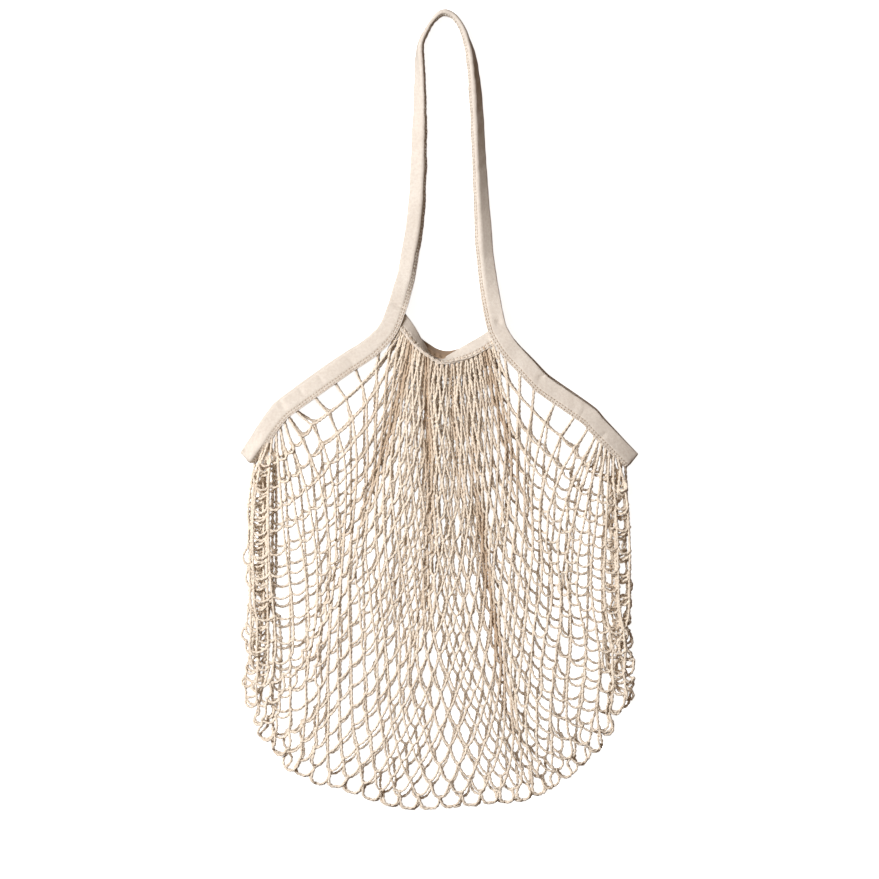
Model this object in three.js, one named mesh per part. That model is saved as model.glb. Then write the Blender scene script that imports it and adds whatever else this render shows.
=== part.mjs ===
// A knotted cotton string bag with one long tape handle, empty and lying on its back.
// Millimetres, +Z up. X runs across the bag, Y from its bottom to the handle's top,
// and the front of the bag faces up.

import * as THREE from 'three';

// ---- driving dimensions ----

const TAPE_THICK = 2.6;        // folded cotton tape, two or three layers
const TAPE_MAIN = 12;          // broad face of the tape, from its crease to its outer edge
const TAPE_FLANGE = 6;         // stitched flange, from the crease to the inner edge
const TAPE_WIDTH = TAPE_MAIN + TAPE_FLANGE;
const BAND_WIDTH = 14;         // binding of the mouth
const SEAM_GAP = 0.35;         // clearance kept where two sewn pieces meet
const FRONT_BAND_DROP = 0.2;   // how far the front band lies below the front layer's middle
const LEVEL_SHARE = 0.5;       // share of a mouth band that lies level

const LEG = 22;                // strand from knot to knot
const STRAND_WIDE = 3.2;
const STRAND_HIGH = 2.6;
const HALF_MOUTH = 8;          // meshes gathered on each half of a mouth band
const SHOULDER_LEGS = 8;       // strands sewn in along each shoulder
const SIDE_LEGS = 12;          // strands down each folded side
const SIDE_EASE = 0.99;        // share of a side strand's length that its fold takes up
const SHOULDER_SHARE = 0.93;   // share of a shoulder tape that carries net
const BAND_SHARE = 0.88;       // share of a mouth band that carries net
const TAPE_CLEARANCE = 3;      // from a shoulder tape's edge to the middle of its sewn knots
const BAND_CLEARANCE = 2.6;    // from a mouth band's edge to the middle of its sewn knots

const SETTLE_ROUNDS = 500;
const SLACK_PUSH = 0.03;       // stiffness of a strand that is shorter than its length
const EVENING = 0.045;         // share of the way a knot moves towards its neighbours' middle

const FLAT_TURN = 0.02;        // two strands turning less than this count as one straight line
const LEAST_SPREAD = 0.1;      // keeps the corner between two close strands near its knot
const LONGEST_CORNER = 0.44;   // reach of such a corner, as a share of a strand's length
const BLUNT_CORNER = 0.55;     // reach of a corner on a straight line, in strand widths

const FOLD_HEIGHT = 2.8;       // height of the net's folded edges above the floor
const FRONT_RISE = 12;         // how far the front layer stands above its folded edges
const RISE_REACH = 35;         // distance from a fold over which the front layer rises
const BACK_PEEK = 2.5;         // how far the back tapes show past the front ones
const BACK_TAPE_END = 0.86;    // share of a shoulder that its tape also runs along behind

// Outline of the net below the shoulders: two upright sides and two rounded corners.
const SIDE_LEFT = -179;
const SIDE_RIGHT = 171;
const SIDE_TOP = 296;
const BOTTOM = 3;
const CORNER_LEFT = { wide: 105, high: 122 };
const CORNER_RIGHT = { wide: 112, high: 146 };

// Middle lines of the tapes as [x, y], from the side of the bag up to the handle.
const SHOULDER_LEFT = [
  [-176.5, 331], [-169.5, 341], [-160.5, 354], [-149, 366.5], [-123, 388],
  [-87, 412.5], [-64, 428], [-49, 444], [-41, 462],
];
const SHOULDER_RIGHT = [
  [172.5, 322.5], [164, 330.5], [153, 342.5], [139, 359], [125, 371],
  [95, 391], [78, 408.5], [62.5, 426], [52.5, 443], [48.5, 454],
];
const MOUTH_FRONT = [[-38, 453], [-19.5, 430], [-4.5, 418], [13, 418], [32, 427], [49, 439]];
const MOUTH_BACK = [[-38, 453], [-15, 436], [3.5, 429], [22, 430], [48, 441]];

// Crease of the handle's folded tape as [x, y, tilt of the broad face, tilt of the flange],
// with the tilts in degrees, from the left foot over the bend to the right foot.
const HANDLE = [
  [-36.8, 464.5, 4, 4], [-33.5, 478, 12, 20], [-29, 493, 20, 35], [-26, 510, 26, 45],
  [-21, 538, 32, 55], [-18, 570, 38, 60], [-16.5, 610, 50, 62], [-15.5, 650, 58, 62],
  [-15.8, 685, 66, 60], [-16.2, 708, 68, 58], [-12.5, 721, 68, 56], [-6.5, 730, 68, 56],
  [1.5, 733.6, 68, 56], [10, 731, 68, 56], [19.5, 721, 66, 56], [26.5, 710, 62, 56],
  [28, 691, 58, 56], [29.3, 656, 48, 58], [31.5, 610, 44, 58], [34.5, 560, 40, 58],
  [37.5, 515, 32, 50], [41, 485, 20, 35], [44, 466, 8, 14], [45.4, 456.5, 4, 4],
];
const BEND_LINE = 700;         // the handle's bend lies above this y
const SHARPEST_MITRE = 0.45;   // cosine that limits the thickness of the handle's crease

// Spacing of the sections along the tapes.
const LEG_STEP = 11;
const BEND_STEP = 5;
const LONGEST_STEP = 1.5;      // how much longer than the others a last step may be
const SHOULDER_STEPS = 15;
const TURN_STEPS = 6;
const BAND_STEPS = 14;

// A knot has two strand counts: a grows down to the right and b down to the left.
// The front and back layers share the knots on the two side folds and the bottom fold.
const LAST = HALF_MOUTH + SHOULDER_LEGS;
const LAST_ROW = SHOULDER_LEGS + SIDE_LEGS;

// ---- small helpers ----

const UP = new THREE.Vector3(0, 0, 1);
const BACK_TAPE_MIDDLE = TAPE_THICK / 2;
const BACK_NET_MIDDLE = STRAND_HIGH / 2;
const LAYER_STEP = (STRAND_HIGH + TAPE_THICK) / 2 + SEAM_GAP;
const SEWN_OFFSET = TAPE_WIDTH / 2 + TAPE_CLEARANCE;
const BAND_OFFSET = BAND_WIDTH / 2 + BAND_CLEARANCE;

function cotton(color, roughness) {
  return new THREE.MeshStandardMaterial({ color, roughness, metalness: 0 });
}

const STRAND_FINISH = cotton(0xe6d9c2, 0.9);
const TAPE_FINISH = cotton(0xeee3d0, 0.85);

function closedMesh(name, points, faces, finish) {
  const geometry = new THREE.BufferGeometry();
  const numbers = points.flatMap((point) => [point.x, point.y, point.z]);
  geometry.setAttribute('position', new THREE.Float32BufferAttribute(numbers, 3));
  geometry.setIndex(faces.flat());
  geometry.computeVertexNormals();
  const mesh = new THREE.Mesh(geometry, finish);
  mesh.name = name;
  return mesh;
}

function planCurve(points) {
  const spots = points.map(([x, y]) => new THREE.Vector3(x, y, 0));
  return new THREE.CatmullRomCurve3(spots, false, 'centripetal');
}

// Horizontal direction to the left of travel.
function leftOf(along) {
  return new THREE.Vector3(-along.y, along.x, 0).normalize();
}

// Height of the front layer's middle, at a distance from the nearest folded edge.
function frontHeight(distance) {
  return FOLD_HEIGHT + FRONT_RISE * (1 - Math.exp(-distance / RISE_REACH));
}

// Joins rings of equally many points, each going round the direction of travel,
// into one closed solid with flat ends.
function sweptSolid(name, rings, finish) {
  const sides = rings[0].length;
  const faces = [];
  for (let ring = 0; ring + 1 < rings.length; ring += 1) {
    for (let side = 0; side < sides; side += 1) {
      const here = ring * sides + side;
      const beside = ring * sides + (side + 1) % sides;
      faces.push([here, beside, beside + sides], [here, beside + sides, here + sides]);
    }
  }
  const last = (rings.length - 1) * sides;
  for (let side = 1; side + 1 < sides; side += 1) {
    faces.push([0, side + 1, side], [last, last + side, last + side + 1]);
  }
  return closedMesh(name, rings.flat(), faces, finish);
}

// ---- tapes ----

function flatRing(centre, across, along, width) {
  const normal = along.clone().cross(across).normalize();
  const corner = (side, level) => centre.clone()
    .addScaledVector(across, side * width / 2)
    .addScaledVector(normal, level * TAPE_THICK / 2);
  return [corner(1, -1), corner(1, 1), corner(-1, 1), corner(-1, -1)];
}

// A tape that runs down the back of a shoulder, turns round the side of the bag and
// comes up the front, where it lies higher. Outward is 1 for the left shoulder.
function sideTape(name, shoulder, outward) {
  const curve = planCurve(shoulder);
  const length = curve.getLength();
  const acrossAt = (u) => leftOf(curve.getTangentAt(u)).multiplyScalar(outward);
  const rings = [];
  for (let step = SHOULDER_STEPS; step >= 0; step -= 1) {
    const u = BACK_TAPE_END * step / SHOULDER_STEPS;
    const spot = curve.getPointAt(u).setZ(BACK_TAPE_MIDDLE);
    spot.addScaledVector(acrossAt(u), BACK_PEEK * Math.sin(Math.PI * u));
    rings.push(flatRing(spot, acrossAt(u), curve.getTangentAt(u).negate(), TAPE_WIDTH));
  }
  const radius = (frontHeight(0) + LAYER_STEP - BACK_TAPE_MIDDLE) / 2;
  const sideways = curve.getTangentAt(0).negate();
  const tip = curve.getPointAt(0).setZ(BACK_TAPE_MIDDLE + radius);
  for (let turn = 1; turn < TURN_STEPS; turn += 1) {
    const angle = Math.PI * turn / TURN_STEPS;
    const spot = tip.clone()
      .addScaledVector(sideways, radius * Math.sin(angle))
      .addScaledVector(UP, -radius * Math.cos(angle));
    const along = sideways.clone().multiplyScalar(Math.cos(angle))
      .addScaledVector(UP, Math.sin(angle));
    rings.push(flatRing(spot, acrossAt(0), along, TAPE_WIDTH));
  }
  for (let step = 0; step <= SHOULDER_STEPS; step += 1) {
    const u = step / SHOULDER_STEPS;
    const spot = curve.getPointAt(u).setZ(frontHeight(u * length) + LAYER_STEP);
    rings.push(flatRing(spot, acrossAt(u), curve.getTangentAt(u), TAPE_WIDTH));
  }
  return sweptSolid(name, rings, TAPE_FINISH);
}

// Section of the folded handle tape. From the crease the broad face slopes down outward,
// and the stitched flange slopes down inward.
function foldedRing(crease, along, mainTilt, flangeTilt) {
  const outward = leftOf(along);
  const downSlope = (side, tilt) => outward.clone().multiplyScalar(side * Math.cos(tilt))
    .addScaledVector(UP, -Math.sin(tilt));
  const faceNormal = (side, tilt) => outward.clone().multiplyScalar(side * Math.sin(tilt))
    .addScaledVector(UP, Math.cos(tilt));
  const half = TAPE_THICK / 2;
  const mitre = half / Math.max(Math.cos((mainTilt + flangeTilt) / 2), SHARPEST_MITRE);
  const bisector = faceNormal(1, mainTilt).add(faceNormal(-1, flangeTilt)).normalize();
  const mainEdge = crease.clone().addScaledVector(downSlope(1, mainTilt), TAPE_MAIN);
  const flangeEdge = crease.clone().addScaledVector(downSlope(-1, flangeTilt), TAPE_FLANGE);
  return [
    mainEdge.clone().addScaledVector(faceNormal(1, mainTilt), -half),
    mainEdge.clone().addScaledVector(faceNormal(1, mainTilt), half),
    crease.clone().addScaledVector(bisector, mitre),
    flangeEdge.clone().addScaledVector(faceNormal(-1, flangeTilt), half),
    flangeEdge.clone().addScaledVector(faceNormal(-1, flangeTilt), -half),
    crease.clone().addScaledVector(bisector, -mitre),
  ];
}

// Distances along the handle at which its section is drawn, closer together in the bend.
function handleStations(curve) {
  const length = curve.getLength();
  const stations = [0];
  let left = length;
  while (left > 0) {
    const inBend = curve.getPointAt(1 - left / length).y > BEND_LINE;
    const step = inBend ? BEND_STEP : LEG_STEP;
    left = left < LONGEST_STEP * step ? 0 : left - step;
    stations.push(length - left);
  }
  return stations;
}

function handle() {
  const curve = planCurve(HANDLE);
  const tilts = new THREE.CatmullRomCurve3(
    HANDLE.map(([, , main, flange]) => new THREE.Vector3(main, flange, 0)
      .multiplyScalar(THREE.MathUtils.DEG2RAD)));
  const length = curve.getLength();
  const footHeight = frontHeight(SHOULDER_LEGS * LEG) + LAYER_STEP;
  const rings = handleStations(curve).map((reached) => {
    const t = curve.getUtoTmapping(reached / length);
    const crease = curve.getPoint(t);
    const tilt = tilts.getPoint(t);
    const fromFoot = Math.min(reached, length - reached);
    const resting = TAPE_MAIN * Math.sin(tilt.x) + TAPE_THICK / 2 * Math.cos(tilt.x);
    crease.z = THREE.MathUtils.lerp(resting, footHeight, Math.exp(-fromFoot / RISE_REACH));
    return foldedRing(crease, curve.getTangent(t), tilt.x, tilt.y);
  });
  return sweptSolid('handle', rings, TAPE_FINISH);
}

// Height of a mouth band: level round its middle, and bending to that of its sewn ends.
function bandHeight(u, middle, end) {
  const fromMiddle = Math.abs(2 * u - 1);
  const pastLevel = Math.max(fromMiddle - LEVEL_SHARE, 0) / (1 - LEVEL_SHARE);
  return THREE.MathUtils.lerp(middle, end, pastLevel * pastLevel);
}

function mouthBand(name, line, middle, end) {
  const curve = planCurve(line);
  const rings = [];
  for (let step = 0; step <= BAND_STEPS; step += 1) {
    const u = step / BAND_STEPS;
    const along = curve.getTangentAt(u);
    const spot = curve.getPointAt(u).setZ(bandHeight(u, middle, end));
    rings.push(flatRing(spot, leftOf(along), along, BAND_WIDTH));
  }
  return sweptSolid(name, rings, TAPE_FINISH);
}

// ---- the net ----

function inNet(a, b) {
  const within = (count) => count >= -HALF_MOUTH && count <= LAST;
  return within(a) && within(b) && a + b >= 0 && a + b <= LAST_ROW;
}

function knotKey(layer, a, b) {
  const onFold = a === LAST || b === LAST || a + b === LAST_ROW;
  return `${onFold ? 'fold' : layer} ${a} ${b}`;
}

function sewnPoint(curve, u, side, offset) {
  return curve.getPointAt(u).addScaledVector(leftOf(curve.getTangentAt(u)), side * offset);
}

function netOutline() {
  const left = sewnPoint(planCurve(SHOULDER_LEFT), 0, -1, SEWN_OFFSET);
  const right = sewnPoint(planCurve(SHOULDER_RIGHT), 0, 1, SEWN_OFFSET);
  const path = new THREE.Path();
  path.moveTo(left.x, left.y);
  path.quadraticCurveTo(SIDE_LEFT, (left.y + SIDE_TOP) / 2, SIDE_LEFT, SIDE_TOP);
  path.lineTo(SIDE_LEFT, BOTTOM + CORNER_LEFT.high);
  path.absellipse(SIDE_LEFT + CORNER_LEFT.wide, BOTTOM + CORNER_LEFT.high,
    CORNER_LEFT.wide, CORNER_LEFT.high, Math.PI, 1.5 * Math.PI, false);
  path.lineTo(SIDE_RIGHT - CORNER_RIGHT.wide, BOTTOM);
  path.absellipse(SIDE_RIGHT - CORNER_RIGHT.wide, BOTTOM + CORNER_RIGHT.high,
    CORNER_RIGHT.wide, CORNER_RIGHT.high, 1.5 * Math.PI, 2 * Math.PI, false);
  path.lineTo(SIDE_RIGHT, SIDE_TOP);
  path.quadraticCurveTo(SIDE_RIGHT, (right.y + SIDE_TOP) / 2, right.x, right.y);
  return path;
}

// Places of the knots that are sewn to the tapes or lie on a fold, or null.
function heldPlace(a, b, mouth, outline) {
  const outlineLength = outline.getLength();
  const sideShare = SIDE_EASE * SIDE_LEGS * LEG / outlineLength;
  const bottomColumns = LAST - (LAST_ROW - LAST);
  const outlinePoint = (u) => {
    const spot = outline.getPointAt(u);
    return new THREE.Vector3(spot.x, spot.y, 0);
  };
  if (b === LAST) {
    return outlinePoint(sideShare * (a + HALF_MOUTH) / SIDE_LEGS);
  }
  if (a === LAST) {
    return outlinePoint(1 - sideShare * (b + HALF_MOUTH) / SIDE_LEGS);
  }
  if (a + b === LAST_ROW) {
    return outlinePoint(sideShare + (1 - 2 * sideShare) * (LAST - b) / bottomColumns);
  }
  if (a + b === 0) {
    const u = 0.5 + BAND_SHARE * a / (2 * HALF_MOUTH);
    return sewnPoint(planCurve(mouth), u, -1, BAND_OFFSET);
  }
  if (a === -HALF_MOUTH) {
    const u = SHOULDER_SHARE * (LAST - b) / SHOULDER_LEGS;
    return sewnPoint(planCurve(SHOULDER_LEFT), u, -1, SEWN_OFFSET);
  }
  if (b === -HALF_MOUTH) {
    const u = SHOULDER_SHARE * (LAST - a) / SHOULDER_LEGS;
    return sewnPoint(planCurve(SHOULDER_RIGHT), u, 1, SEWN_OFFSET);
  }
  return null;
}

// One layer's knots by their strand counts, its free knots with those around them, and its
// strands as pairs of knots.
function looseLayer(mouth, outline) {
  const knots = new Map();
  for (let a = -HALF_MOUTH; a <= LAST; a += 1) {
    for (let b = -HALF_MOUTH; b <= LAST; b += 1) {
      if (inNet(a, b)) {
        const place = heldPlace(a, b, mouth, outline);
        const knot = { a, b, spot: place ?? new THREE.Vector3(), held: place !== null };
        knots.set(`${a} ${b}`, knot);
      }
    }
  }
  const found = (places) => places.map(([a, b]) => knots.get(`${a} ${b}`)).filter(Boolean);
  const free = [];
  const strands = [];
  knots.forEach((knot) => {
    const { a, b } = knot;
    const below = found([[a + 1, b], [a, b + 1]]);
    below.forEach((other) => strands.push([knot, other]));
    if (!knot.held) {
      free.push({ knot, around: [...below, ...found([[a - 1, b], [a, b - 1]])] });
    }
  });
  return { knots, free, strands };
}

function middleOf(knots) {
  const middle = new THREE.Vector3();
  knots.forEach((knot) => middle.addScaledVector(knot.spot, 1 / knots.length));
  return middle;
}

// Moves the free ends of a strand so that it gets its own length. A slack one hardly pushes.
function pullStrand(one, other) {
  const freeEnds = (one.held ? 0 : 1) + (other.held ? 0 : 1);
  if (freeEnds > 0) {
    const pull = other.spot.clone().sub(one.spot);
    const length = pull.length();
    const stiffness = length > LEG ? 1 : SLACK_PUSH;
    pull.multiplyScalar(stiffness * (1 - LEG / length) / freeEnds);
    one.spot.addScaledVector(pull, one.held ? 0 : 1);
    other.spot.addScaledVector(pull, other.held ? 0 : -1);
  }
}

// Lays one layer out in plan. Free knots first go to the middle of their neighbours. Then
// every strand pulls or pushes them towards its own length.
function settledLayer(mouth, outline) {
  const { knots, free, strands } = looseLayer(mouth, outline);
  for (let round = 0; round < SETTLE_ROUNDS; round += 1) {
    free.forEach(({ knot, around }) => knot.spot.copy(middleOf(around)));
  }
  for (let round = 0; round < SETTLE_ROUNDS; round += 1) {
    free.forEach(({ knot, around }) => knot.spot.lerp(middleOf(around), EVENING));
    strands.forEach(([one, other]) => pullStrand(one, other));
  }
  return knots;
}

function layerHeight(layer, a, b) {
  const fromFold = Math.min(LAST - a, LAST - b, LAST_ROW - a - b);
  if (layer === 'front' || fromFold === 0) {
    return frontHeight(fromFold * LEG);
  }
  if (a + b === 0) {
    const u = 0.5 + BAND_SHARE * a / (2 * HALF_MOUTH);
    return bandHeight(u, BACK_NET_MIDDLE, BACK_NET_MIDDLE + LAYER_STEP);
  }
  return BACK_NET_MIDDLE;
}

// Far ends of the strands that leave a knot, in order round it as seen from outside the bag.
// On a fold the lower strands are those of the other layer.
function strandsFrom(layer, a, b) {
  const otherLayer = layer === 'front' ? 'back' : 'front';
  const onBottom = a + b === LAST_ROW;
  let right = [layer, a + 1, b];
  let left = [layer, a, b + 1];
  if (a === LAST) {
    right = [otherLayer, a - 1, b];
  } else if (onBottom) {
    right = [otherLayer, a, b - 1];
  }
  if (b === LAST) {
    left = [otherLayer, a, b - 1];
  } else if (onBottom) {
    left = [otherLayer, a - 1, b];
  }
  const keys = [right, [layer, a, b - 1], [layer, a - 1, b], left]
    .filter(([, p, q]) => inNet(p, q))
    .map(([own, p, q]) => knotKey(own, p, q));
  const distinct = keys.filter((key, index) => keys.indexOf(key) === index);
  return layer === 'front' ? distinct : distinct.reverse();
}

// All knots of the bag by their keys, in space, with the keys that their strands lead to.
function hungKnots() {
  const outline = netOutline();
  const layers = {
    front: settledLayer(MOUTH_FRONT, outline),
    back: settledLayer(MOUTH_BACK, outline),
  };
  const knots = new Map();
  Object.entries(layers).forEach(([layer, layerKnots]) => {
    layerKnots.forEach(({ a, b, spot }) => {
      const key = knotKey(layer, a, b);
      if (!knots.has(key)) {
        const place = spot.clone().setZ(layerHeight(layer, a, b));
        knots.set(key, { place, strands: strandsFrom(layer, a, b) });
      }
    });
  });
  return knots;
}

// Direction out of the bag at a knot, given the ways of its strands in order round it.
// With two strands only, it is up in the front layer and down elsewhere.
function outwardAt(place, ways) {
  const normal = new THREE.Vector3();
  if (ways.length === 2) {
    const facing = place.z > FOLD_HEIGHT ? 1 : -1;
    normal.crossVectors(ways[0], ways[1]);
    return normal.multiplyScalar(facing * Math.sign(normal.z)).normalize();
  }
  ways.forEach((way, index) => {
    normal.add(way.clone().cross(ways[(index + 1) % ways.length]));
  });
  return normal.normalize();
}

// Corner between two strands that leave a knot next to each other, on the net's inner side.
function strandCorner(place, normal, way, next) {
  const spread = way.clone().sub(next);
  const isCorner = way.clone().cross(next).dot(normal) > FLAT_TURN;
  const middle = isCorner ? way.clone().add(next) : normal.clone().cross(spread);
  const reach = STRAND_WIDE / Math.max(spread.length(), LEAST_SPREAD);
  const limit = isCorner ? LONGEST_CORNER * LEG : BLUNT_CORNER * STRAND_WIDE;
  return place.clone()
    .addScaledVector(middle.normalize(), Math.min(reach, limit))
    .addScaledVector(normal, -STRAND_HIGH / 2);
}

// Every knot has one top point and a corner between each two strands. A strand is a
// three-sided bar between the tops and corners of its two knots.
function net() {
  const knots = hungKnots();
  const points = [];
  const faces = [];
  const addPoint = (point) => points.push(point) - 1;
  knots.forEach((knot) => {
    const { place, strands } = knot;
    const ways = strands.map((key) => knots.get(key).place.clone().sub(place).normalize());
    const normal = outwardAt(place, ways);
    knot.top = addPoint(place.clone().addScaledVector(normal, STRAND_HIGH / 2));
    knot.corners = ways.map((way, index) => {
      const next = ways[(index + 1) % ways.length];
      return addPoint(strandCorner(place, normal, way, next));
    });
    for (let side = 2; side < ways.length; side += 1) {
      faces.push([knot.corners[0], knot.corners[side], knot.corners[side - 1]]);
    }
  });
  knots.forEach((knot, key) => {
    const count = knot.strands.length;
    knot.strands.forEach((farKey, index) => {
      if (key < farKey) {
        const far = knots.get(farKey);
        const farIndex = far.strands.indexOf(key);
        const farCount = far.strands.length;
        const left = knot.corners[index];
        const right = knot.corners[(index + count - 1) % count];
        const farLeft = far.corners[(farIndex + farCount - 1) % farCount];
        const farRight = far.corners[farIndex];
        faces.push([knot.top, far.top, farLeft], [knot.top, farLeft, left]);
        faces.push([knot.top, right, farRight], [knot.top, farRight, far.top]);
        faces.push([left, farLeft, farRight], [left, farRight, right]);
      }
    });
  });
  return closedMesh('net', points, faces, STRAND_FINISH);
}

// ---- the whole bag, centred over the origin and lying on the floor ----

const frontBandMiddle = frontHeight(SHOULDER_LEGS * LEG) - FRONT_BAND_DROP;
const bag = new THREE.Group();
bag.add(
  net(),
  handle(),
  sideTape('side_tape_left', SHOULDER_LEFT, 1),
  sideTape('side_tape_right', SHOULDER_RIGHT, -1),
  mouthBand('mouth_band_front', MOUTH_FRONT, frontBandMiddle, frontBandMiddle),
  mouthBand('mouth_band_back', MOUTH_BACK, BACK_TAPE_MIDDLE, BACK_TAPE_MIDDLE + LAYER_STEP),
);
const box = new THREE.Box3().setFromObject(bag, true);
const centre = box.getCenter(new THREE.Vector3());
bag.position.set(-centre.x, -centre.y, -box.min.z);
bag.updateMatrixWorld(true);

export default bag;
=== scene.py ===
"""A knotted cotton string bag with one long tape handle, lying on its back.

Plans are in the bag's own millimetres: X runs across the bag, Y from its bottom up to the
handle and Z out of its front. The finished pieces are in metres, in the frame.
"""

import math

import bpy
import numpy as np
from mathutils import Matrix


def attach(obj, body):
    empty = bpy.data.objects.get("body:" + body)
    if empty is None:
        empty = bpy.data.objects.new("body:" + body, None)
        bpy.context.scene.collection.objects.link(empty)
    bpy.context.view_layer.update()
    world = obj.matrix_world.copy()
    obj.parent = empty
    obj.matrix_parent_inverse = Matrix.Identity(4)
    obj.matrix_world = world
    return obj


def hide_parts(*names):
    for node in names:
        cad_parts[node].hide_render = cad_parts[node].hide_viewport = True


bl_info = {
    "name": "String market bag",
    "version": (1, 0, 0),
    "blender": (4, 5, 0),
    "location": "View3D > Sidebar > Bag",
    "description": "Makes a cotton string bag with a folded-tape handle around its packed solids",
    "category": "Add Mesh",
}

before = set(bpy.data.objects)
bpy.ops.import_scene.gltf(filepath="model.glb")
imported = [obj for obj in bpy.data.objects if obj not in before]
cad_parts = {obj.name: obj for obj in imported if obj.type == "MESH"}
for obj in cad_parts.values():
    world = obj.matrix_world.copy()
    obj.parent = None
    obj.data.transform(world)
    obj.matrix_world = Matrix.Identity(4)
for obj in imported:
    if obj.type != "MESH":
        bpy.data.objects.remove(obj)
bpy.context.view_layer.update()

MM = 0.001
# The bag's own origin in the frame, in millimetres. Its lowest knots rest on the floor.
BAG_ORIGIN = np.array([2.33, -370.26, 0.9])
UP = np.array([0.0, 0.0, 1.0])

# ---- the tapes, along the routes that the solids take ----

SHOULDER_LEFT = [
    (-177, 328.5), (-168.5, 340.5), (-160, 353), (-150, 366), (-145, 371.4), (-139, 375.6),
    (-123, 387), (-87, 412.5), (-64, 428), (-49, 444), (-41, 462),
]
SHOULDER_RIGHT = [
    (175, 325), (165.5, 334), (154, 345.5), (142, 357.5), (137, 363.5), (131, 368),
    (98, 390.5), (92, 395), (87, 400), (78, 410), (62.5, 427), (52.5, 443), (48.5, 454),
]
# Middles of the mouth's bands, and their roll in degrees: the upper edge turns in.
MOUTH_FRONT = [
    (-38, 455, 10), (-29.4, 444.4, 30), (-19.3, 430.6, 55), (-10, 421, 76), (0, 416, 72),
    (14.7, 420, 45), (26.7, 425.5, 15), (44, 435.5, 10), (51, 441, 10),
]
MOUTH_BACK = [(48, 438, 30), (22, 424, 45), (2, 421, 55), (-17, 431, 58), (-38, 450, 40)]
# Crease of the handle: x, y, tilt of its broad face and tilt of its flange in degrees.
HANDLE = [
    (-36.8, 464.5, 4, 4), (-33.5, 478, 8, 20), (-29, 493, 10, 35), (-26, 510, 12, 45),
    (-21, 538, 12, 60), (-18, 570, 18, 66), (-16.6, 610, 26, 70), (-16.2, 650, 42, 74),
    (-17.4, 685, 60, 78), (-18.6, 708, 84, 82), (-13.5, 720, 86, 80), (-6.5, 731, 86, 76),
    (1.5, 737.6, 86, 70), (10, 735.5, 86, 70), (18.5, 725.5, 86, 70), (24.8, 709, 80, 62),
    (28, 690, 66, 58), (30.5, 656, 54, 56), (32.5, 610, 46, 54), (34.8, 560, 36, 50),
    (37.5, 515, 26, 44), (41, 485, 14, 35), (44, 466, 6, 14), (45.4, 456.5, 4, 4),
]
# Dents of the tape's face: x, y, reach along it, reach across it and depth.
DENTS = [
    (52.4, 452.6, 3.5, 3, 1.4), (-38.6, 466, 1.6, 7, 1.6), (-147, 378, 1.7, 9, 2.2),
    (93, 402, 1.5, 6, 0.9), (-110.5, 399, 1.8, 6, 0.8), (128, 366, 1.6, 7, 0.6),
    (-129, 389, 1.6, 6, 1.0), (-82, 415, 2.5, 7, 0.7), (148, 346, 1.8, 6, 0.8),
]
TAPE_MAIN = 12.0        # from the crease to the folded edge
TAPE_FLANGE = 6.0       # from the crease to the stitched edge
CREASE_OFF_MIDDLE = (TAPE_MAIN - TAPE_FLANGE) / 2
CREASE_REACH = 1.3      # half the breadth of the bend at the crease
BAND_HALF_WIDTH = 7.0
STITCH_ROWS = (3.9, 1.7)  # from the stitched edge
SEAM_MIDDLE = sum(STITCH_ROWS) / 2 * MM
SEAM_HALF = (STITCH_ROWS[0] - STITCH_ROWS[1]) / 2 * MM
SEAM_EDGES = (0.0003, 0.0007)  # metres from a stitch row where the seam's painted shade is full, and where there is none
# Painted shade in the seam's puckered stitch holes, as a share of the shade colour
SEAM_PAINTED_SHADE = 0.75
SHOULDER_TILT = 3.0     # degrees, of the broad face
TIP_TILT_LEFT, TIP_TILT_RIGHT = 44, 10
TIP_REACH = 20.0        # how far from a tip the tape is folded more sharply
TIP_FLANGE = 1.2        # tilt of the flange there, as a share of the broad face's
SHOULDER_CUT = 6        # points left off a shoulder, where the handle takes over
HANDLE_CUT = 4          # and off both ends of the handle
HANDLE_ROUNDS = 8       # how many times corners are taken off
TAPE_ROUNDS = 5
BACK_TAPE_SHARE = 0.86  # how far a tape runs back up behind the shoulder
BACK_PEEK = 2.5         # how far it shows beside the shoulder
LAYER_STEP = 2.95       # height of a tape's middle above the net that it binds
BACK_LEVEL = 1.3        # middle of what lies on the floor
BAND_LEVEL = 14.5
MOUTH_PAINTED_SHADE = 1.2      # painted shade: how much deeper in colour the back band is, inside the mouth where the front band shades it
TURN_STEPS = 6
TAPE_STEP, BAND_STEP = 1.6, 0.8  # between the rings of their meshes

FRONT_FOLD = 2.8        # height of the net's folded edges
FRONT_RISE = 12.0       # how far the front layer stands above them
RISE_REACH = 35.0

# ---- the net ----

HALF_MOUTH = 12         # meshes on each side of the middle of the mouth
SHOULDER_LEGS = 15      # legs of a mesh along each shoulder
SIDE_LEGS = 9           # and along each side fold
LAST = HALF_MOUTH + SHOULDER_LEGS
LAST_ROW = SHOULDER_LEGS + SIDE_LEGS
FRONT, BACK, FOLD = 0, 1, 2
SEWN_OFFSET = 7.0       # from the middle of a shoulder tape to the net's sewn edge
BAND_OFFSET = 5.0
SHOULDER_SHARE = 0.93   # share of a shoulder that carries net
BAND_SHARE = 0.93
GATHERED_LEFT = (58.0, 9.9)   # millimetres nearest the tip that take this many gathered legs
GATHERED_RIGHT = (43.0, 8.9)
LEAST_GAP = 5.2         # between knots of one row
WIDE_GAP = 22.0         # where the net would like to open to
BENDS = 5               # points between the two knots of a strand
STRING_SIDES = 8
LUMP_RINGS = LUMP_SIDES = 6
LUMP_POINTS = LUMP_RINGS * LUMP_SIDES
LOOPED_KNOT = 0.72      # size of the bottom fold's knots, as a share of the others
FOLD_PAINTED_SHADE = 0.8      # painted shade: how far the deepest fold goes to the shade colour, which also scales the painted shade inside the mouth
NET_CEILING = 20.0      # no knot or strand goes higher
NET_START = (0, 220, 8)  # where all loose knots begin
UNEVEN_LINES, UNEVEN_LEGS = 0.03, 0.05
SHORT_CROSSING = 0.08
FOLD_UNEVEN = 2.5       # how far knots of the folds stand off the outline, mostly outwards
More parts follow.
